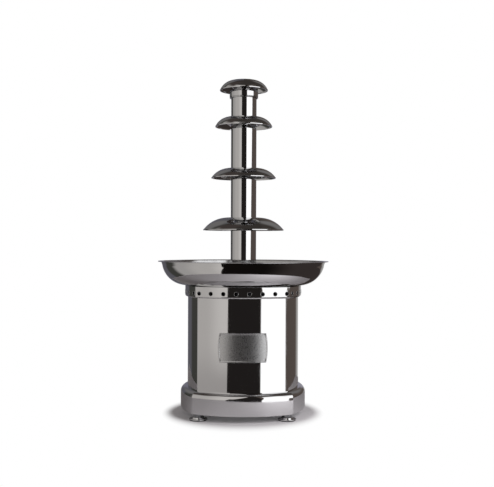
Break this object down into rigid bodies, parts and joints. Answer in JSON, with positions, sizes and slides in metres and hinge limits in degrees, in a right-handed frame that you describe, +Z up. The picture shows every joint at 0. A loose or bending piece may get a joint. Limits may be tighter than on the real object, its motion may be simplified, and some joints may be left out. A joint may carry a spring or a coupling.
{
  "type": "chocolate fountain",
  "caption": "Polished steel chocolate fountain: a crown and domed tiers on a round tower with an auger, over a shallow heated bowl on a motor base with bowed faces.",
  "frame": {"origin": "on the floor under the tower's axis", "axes": "+Z up along the tower, -Y to the front with the badge, +X to the right seen from the front"},
  "size_m": [0.34, 0.34, 0.6609],
  "materials": {
    "polished_steel": "mirror-polished stainless steel",
    "satin_steel": "satin stainless steel",
    "aluminium": "machined",
    "brass": "machined",
    "copper_winding": "enamelled wire",
    "black_plastic": "moulded, fine grain",
    "red_plastic": "moulded, translucent",
    "amber_lens": "moulded, clear amber",
    "rubber": "moulded"
  },
  "bodies": {
    "base": {"base_plate": "satin_steel", "plinth_skirt": "polished_steel", "body_shell": "polished_steel", "vent_collar": "polished_steel", "deck_plate": "satin_steel", "tie_rods": "satin_steel", "tie_rod_nuts": "satin_steel", "badge_plate": "satin_steel", "bowl": "polished_steel", "neck_bush": "brass", "neck_nut": "brass", "shaft_seal": "rubber", "heater_plate": "aluminium", "heater_element": "satin_steel", "heater_posts": "satin_steel", "thermostat_bulb": "brass", "control_panel": "polished_steel", "thermostat": "black_plastic", "switch_bezels": "black_plastic", "pilot_lamp": "amber_lens", "fuse_holder": "black_plastic", "power_inlet": "black_plastic", "inlet_pins": "brass", "inlet_screws": "satin_steel", "upper_gear_plate": "aluminium", "lower_gear_plate": "aluminium", "gear_posts": "satin_steel", "shaft_bearings": "satin_steel", "motor_can": "satin_steel", "motor_tail_cap": "aluminium", "stator": "copper_winding", "foot_bushes": "satin_steel"},
    "drive": {"output_gear": "brass", "drive_shaft": "satin_steel"},
    "rotor": {"rotor_shaft": "satin_steel", "rotor_core": "satin_steel", "pinion": "satin_steel", "cooling_fan": "black_plastic"},
    "auger": {"auger_core": "polished_steel", "auger_flight": "polished_steel"},
    "tower": {"tower_foot": "polished_steel", "tower_tube": "polished_steel", "tier_pins": "satin_steel"},
    "lower_tier": {"lower_tier": "polished_steel"},
    "middle_tier": {"middle_tier": "polished_steel"},
    "upper_tier": {"upper_tier": "polished_steel"},
    "crown": {"crown": "polished_steel"},
    "knob": {"knob_spindle": "satin_steel", "knob": "black_plastic"},
    "motor_switch": {"motor_rocker": "black_plastic"},
    "heat_switch": {"heat_rocker": "red_plastic"},
    "front_left_pad": {"pad_front_left": "rubber"},
    "front_left_screw": {"stud_front_left": "satin_steel"},
    "front_right_pad": {"pad_front_right": "rubber"},
    "front_right_screw": {"stud_front_right": "satin_steel"},
    "rear_right_pad": {"pad_rear_right": "rubber"},
    "rear_right_screw": {"stud_rear_right": "satin_steel"},
    "rear_left_pad": {"pad_rear_left": "rubber"},
    "rear_left_screw": {"stud_rear_left": "satin_steel"}
  },
  "joints": [
    {"name": "drive_spin", "type": "hinge", "parent": "base", "child": "drive", "pos_m": [0, 0, 0.216], "axis": [0, 0, 1], "continuous": true},
    {"name": "rotor_spin", "type": "hinge", "parent": "base", "child": "rotor", "pos_m": [0, -0.045, 0.16], "axis": [0, 0, 1], "continuous": true},
    {"name": "auger_lift", "type": "slide", "parent": "drive", "child": "auger", "axis": [0, 0, 1], "range_m": [0, 0.4]},
    {"name": "tower_lift", "type": "slide", "parent": "base", "child": "tower", "axis": [0, 0, 1], "range_m": [0, 0.41]},
    {"name": "lower_tier_lift", "type": "slide", "parent": "tower", "child": "lower_tier", "axis": [0, 0, 1], "range_m": [0, 0.075]},
    {"name": "middle_tier_lift", "type": "slide", "parent": "tower", "child": "middle_tier", "axis": [0, 0, 1], "range_m": [0, 0.075]},
    {"name": "upper_tier_lift", "type": "slide", "parent": "tower", "child": "upper_tier", "axis": [0, 0, 1], "range_m": [0, 0.03]},
    {"name": "crown_lift", "type": "slide", "parent": "tower", "child": "crown", "axis": [0, 0, 1], "range_m": [0, 0.1]},
    {"name": "knob_turn", "type": "hinge", "parent": "base", "child": "knob", "pos_m": [-0.034, 0.1115, 0.16], "axis": [0, -1, 0], "range_deg": [0, 270]},
    {"name": "motor_switch_rock", "type": "hinge", "parent": "base", "child": "motor_switch", "pos_m": [0.01, 0.1045, 0.16], "axis": [1, 0, 0], "range_deg": [0, 20]},
    {"name": "heat_switch_rock", "type": "hinge", "parent": "base", "child": "heat_switch", "pos_m": [0.036, 0.1045, 0.16], "axis": [1, 0, 0], "range_deg": [0, 20]},
    {"name": "front_left_foot_level", "type": "slide", "parent": "base", "child": "front_left_pad", "axis": [0, 0, -1], "range_m": [0, 0.01]},
    {"name": "front_left_screw_turn", "type": "hinge", "parent": "front_left_pad", "child": "front_left_screw", "pos_m": [-0.0843, -0.0843, 0.01], "axis": [0, 0, -1], "range_deg": [0, 2401]},
    {"name": "front_right_foot_level", "type": "slide", "parent": "base", "child": "front_right_pad", "axis": [0, 0, -1], "range_m": [0, 0.01]},
    {"name": "front_right_screw_turn", "type": "hinge", "parent": "front_right_pad", "child": "front_right_screw", "pos_m": [0.0843, -0.0843, 0.01], "axis": [0, 0, -1], "range_deg": [0, 2401]},
    {"name": "rear_right_foot_level", "type": "slide", "parent": "base", "child": "rear_right_pad", "axis": [0, 0, -1], "range_m": [0, 0.01]},
    {"name": "rear_right_screw_turn", "type": "hinge", "parent": "rear_right_pad", "child": "rear_right_screw", "pos_m": [0.0843, 0.0843, 0.01], "axis": [0, 0, -1], "range_deg": [0, 2401]},
    {"name": "rear_left_foot_level", "type": "slide", "parent": "base", "child": "rear_left_pad", "axis": [0, 0, -1], "range_m": [0, 0.01]},
    {"name": "rear_left_screw_turn", "type": "hinge", "parent": "rear_left_pad", "child": "rear_left_screw", "pos_m": [-0.0843, 0.0843, 0.01], "axis": [0, 0, -1], "range_deg": [0, 2401]}
  ],
  "couplings": [
    {"joint": "rotor_spin", "follows": "drive_spin", "ratio": -3},
    {"joint": "front_left_screw_turn", "follows": "front_left_foot_level", "rad_per_m": 4188.8},
    {"joint": "front_right_screw_turn", "follows": "front_right_foot_level", "rad_per_m": 4188.8},
    {"joint": "rear_right_screw_turn", "follows": "rear_right_foot_level", "rad_per_m": 4188.8},
    {"joint": "rear_left_screw_turn", "follows": "rear_left_foot_level", "rad_per_m": 4188.8}
  ]
}
